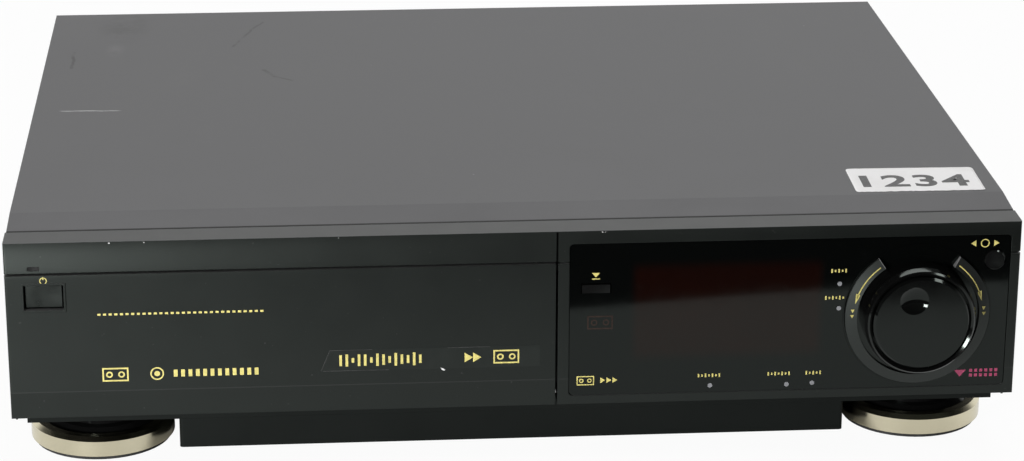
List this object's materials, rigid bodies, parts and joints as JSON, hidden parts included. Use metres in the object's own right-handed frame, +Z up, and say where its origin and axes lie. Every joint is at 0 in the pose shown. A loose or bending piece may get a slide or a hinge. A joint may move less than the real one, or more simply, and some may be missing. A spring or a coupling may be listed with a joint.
{
  "type": "video cassette recorder",
  "caption": "Front-loading video cassette recorder with a drop-down front flap, glossy display window, jog and shuttle dial and round feet.",
  "frame": {"origin": "bottom centre of the bounding box, on the floor under the feet", "axes": "+X to the right as seen from the front, +Y from the front to the rear, +Z up"},
  "size_m": [0.43, 0.374, 0.1065],
  "materials": {
    "cover_paint": "satin grey paint with fine texture",
    "front_plastic": "fine-grained matt moulding",
    "zinc_sheet": "zinc-plated sheet",
    "black_paint": "satin black paint",
    "rubber": "matt",
    "champagne": "turned and lacquered, champagne tint",
    "gloss_black": "glossy",
    "window": "polished smoked acrylic, painted behind",
    "lens": "translucent grey",
    "board_plastic": "moulded",
    "circuit_board": "paper-phenolic laminate",
    "tube_glass": "clear",
    "steel": "bright",
    "drum_metal": "finely turned",
    "brass": "machined",
    "head_metal": "polished",
    "key_plastic": "satin",
    "dial_plastic": "satin gloss",
    "dial_gloss": "glossy",
    "gear_plastic": "acetal"
  },
  "bodies": {
    "case": {"top_cover": "cover_paint", "front_bezel": "front_plastic", "flap_hinge_pins": "steel", "bottom_pan": "zinc_sheet", "plinth": "black_paint", "rear_panel": "black_paint", "rear_screws": "steel", "foot_pads": "rubber", "foot_rings": "champagne", "foot_hubs": "gloss_black", "window_panel": "window", "indicator_lenses": "lens", "dial_escutcheon": "window", "dial_encoder": "board_plastic", "front_board": "circuit_board", "display_tube": "tube_glass", "control_panel": "front_plastic", "control_boards": "circuit_board", "carriage_sides": "zinc_sheet", "deck_plate": "zinc_sheet", "deck_posts": "steel", "lower_drum": "drum_metal", "capstan_bearing": "brass", "tape_heads": "head_metal", "loading_motor": "steel", "circuit_boards": "circuit_board", "board_parts": "board_plastic", "screening_cans": "zinc_sheet", "rear_sockets": "board_plastic"},
    "flap": {"front_flap": "front_plastic"},
    "power_key": {"power_key": "key_plastic"},
    "open_key": {"open_key": "key_plastic"},
    "mode_button": {"mode_button": "key_plastic"},
    "shuttle": {"shuttle_ring": "dial_plastic"},
    "jog": {"jog_dial": "dial_gloss"},
    "transport_key_1": {"transport_key_1": "key_plastic"},
    "transport_key_2": {"transport_key_2": "key_plastic"},
    "transport_key_3": {"transport_key_3": "key_plastic"},
    "transport_key_4": {"transport_key_4": "key_plastic"},
    "transport_key_5": {"transport_key_5": "key_plastic"},
    "transport_key_6": {"transport_key_6": "key_plastic"},
    "carriage": {"carriage_slider": "zinc_sheet"},
    "basket": {"cassette_basket": "zinc_sheet"},
    "dust_flap": {"dust_flap": "key_plastic"},
    "supply_reel": {"supply_reel": "gear_plastic"},
    "takeup_reel": {"takeup_reel": "gear_plastic"},
    "idler_arm": {"idler_arm": "steel"},
    "idler_wheel": {"idler_wheel": "gear_plastic"},
    "drum": {"upper_drum": "drum_metal", "video_heads": "head_metal", "drum_rotor": "steel"},
    "supply_guide": {"supply_guide": "head_metal"},
    "takeup_guide": {"takeup_guide": "head_metal"},
    "capstan": {"capstan": "steel"},
    "pinch_arm": {"pinch_arm": "steel"},
    "pinch_roller": {"pinch_roller": "rubber"},
    "tension_arm": {"tension_arm": "steel"},
    "cam_gear": {"cam_gear": "gear_plastic"},
    "worm": {"worm": "brass"}
  },
  "joints": [
    {"name": "flap_hinge", "type": "hinge", "parent": "case", "child": "flap", "pos_m": [0, -0.167, 0.0303], "axis": [1, 0, 0], "range_deg": [0, 85]},
    {"name": "power_press", "type": "slide", "parent": "case", "child": "power_key", "axis": [0, 1, 0], "range_m": [0, 0.0015], "stiffness_N_per_m": 400},
    {"name": "open_press", "type": "slide", "parent": "case", "child": "open_key", "axis": [0, 1, 0], "range_m": [0, 0.0012], "stiffness_N_per_m": 300},
    {"name": "mode_press", "type": "slide", "parent": "case", "child": "mode_button", "axis": [0, 1, 0], "range_m": [0, 0.0012], "stiffness_N_per_m": 300},
    {"name": "shuttle_turn", "type": "hinge", "parent": "case", "child": "shuttle", "pos_m": [0.1713, -0.175, 0.064], "axis": [0, 1, 0], "range_deg": [-70, 70], "stiffness_Nm_per_rad": 0.03},
    {"name": "jog_turn", "type": "hinge", "parent": "case", "child": "jog", "pos_m": [0.1713, -0.175, 0.064], "axis": [0, 1, 0], "continuous": true},
    {"name": "key_press_1", "type": "slide", "parent": "case", "child": "transport_key_1", "axis": [0, 1, 0], "range_m": [0, 0.001], "stiffness_N_per_m": 300},
    {"name": "key_press_2", "type": "slide", "parent": "case", "child": "transport_key_2", "axis": [0, 1, 0], "range_m": [0, 0.001], "stiffness_N_per_m": 300},
    {"name": "key_press_3", "type": "slide", "parent": "case", "child": "transport_key_3", "axis": [0, 1, 0], "range_m": [0, 0.001], "stiffness_N_per_m": 300},
    {"name": "key_press_4", "type": "slide", "parent": "case", "child": "transport_key_4", "axis": [0, 1, 0], "range_m": [0, 0.001], "stiffness_N_per_m": 300},
    {"name": "key_press_5", "type": "slide", "parent": "case", "child": "transport_key_5", "axis": [0, 1, 0], "range_m": [0, 0.001], "stiffness_N_per_m": 300},
    {"name": "key_press_6", "type": "slide", "parent": "case", "child": "transport_key_6", "axis": [0, 1, 0], "range_m": [0, 0.001], "stiffness_N_per_m": 300},
    {"name": "carriage_in", "type": "slide", "parent": "case", "child": "carriage", "axis": [0, 1, 0], "range_m": [0, 0.075]},
    {"name": "basket_drop", "type": "slide", "parent": "carriage", "child": "basket", "axis": [0, 0, -1], "range_m": [0, 0.02]},
    {"name": "dust_hinge", "type": "hinge", "parent": "case", "child": "dust_flap", "pos_m": [-0.088, -0.152, 0.0905], "axis": [1, 0, 0], "range_deg": [0, 80], "stiffness_Nm_per_rad": 0.01},
    {"name": "supply_spin", "type": "hinge", "parent": "case", "child": "supply_reel", "pos_m": [-0.134, -0.032, 0.0355], "axis": [0, 0, 1], "continuous": true},
    {"name": "takeup_spin", "type": "hinge", "parent": "case", "child": "takeup_reel", "pos_m": [-0.042, -0.032, 0.0355], "axis": [0, 0, 1], "continuous": true},
    {"name": "idler_swing", "type": "hinge", "parent": "case", "child": "idler_arm", "pos_m": [-0.088, -0.066, 0.0355], "axis": [0, 0, 1], "range_deg": [-12, 12]},
    {"name": "idler_spin", "type": "hinge", "parent": "idler_arm", "child": "idler_wheel", "pos_m": [-0.088, -0.038, 0.0355], "axis": [0, 0, 1], "continuous": true},
    {"name": "drum_spin", "type": "hinge", "parent": "case", "child": "drum", "pos_m": [-0.088, 0.075, 0.0355], "axis": [0, -0.0872, 0.9962], "continuous": true},
    {"name": "supply_guide_travel", "type": "hinge", "parent": "case", "child": "supply_guide", "pos_m": [-0.088, 0.075, 0.0355], "axis": [0, 0, -1], "range_deg": [0, 90]},
    {"name": "takeup_guide_travel", "type": "hinge", "parent": "case", "child": "takeup_guide", "pos_m": [-0.088, 0.075, 0.0355], "axis": [0, 0, 1], "range_deg": [0, 90]},
    {"name": "capstan_spin", "type": "hinge", "parent": "case", "child": "capstan", "pos_m": [-0.04, 0.015, 0.0215], "axis": [0, 0, 1], "continuous": true},
    {"name": "pinch_swing", "type": "hinge", "parent": "case", "child": "pinch_arm", "pos_m": [-0.016, 0.0018, 0.0375], "axis": [0, 0, 1], "range_deg": [0, 47.5]},
    {"name": "pinch_roller_spin", "type": "hinge", "parent": "pinch_arm", "child": "pinch_roller", "pos_m": [-0.01431, 0.02914, 0.043], "axis": [0, 0, 1], "continuous": true},
    {"name": "tension_swing", "type": "hinge", "parent": "case", "child": "tension_arm", "pos_m": [-0.158, 0.019, 0.0375], "axis": [0, 0, 1], "range_deg": [0, 12], "stiffness_Nm_per_rad": 0.01},
    {"name": "cam_turn", "type": "hinge", "parent": "case", "child": "cam_gear", "pos_m": [-0.178, 0.117, 0.044], "axis": [0, 0, 1], "range_deg": [0, 270]},
    {"name": "worm_turn", "type": "hinge", "parent": "case", "child": "worm", "pos_m": [-0.178, 0.1409, 0.047], "axis": [1, 0, 0], "continuous": true}
  ],
  "couplings": [
    {"joint": "takeup_guide_travel", "follows": "supply_guide_travel", "ratio": 1},
    {"joint": "worm_turn", "follows": "cam_turn", "ratio": 40}
  ]
}
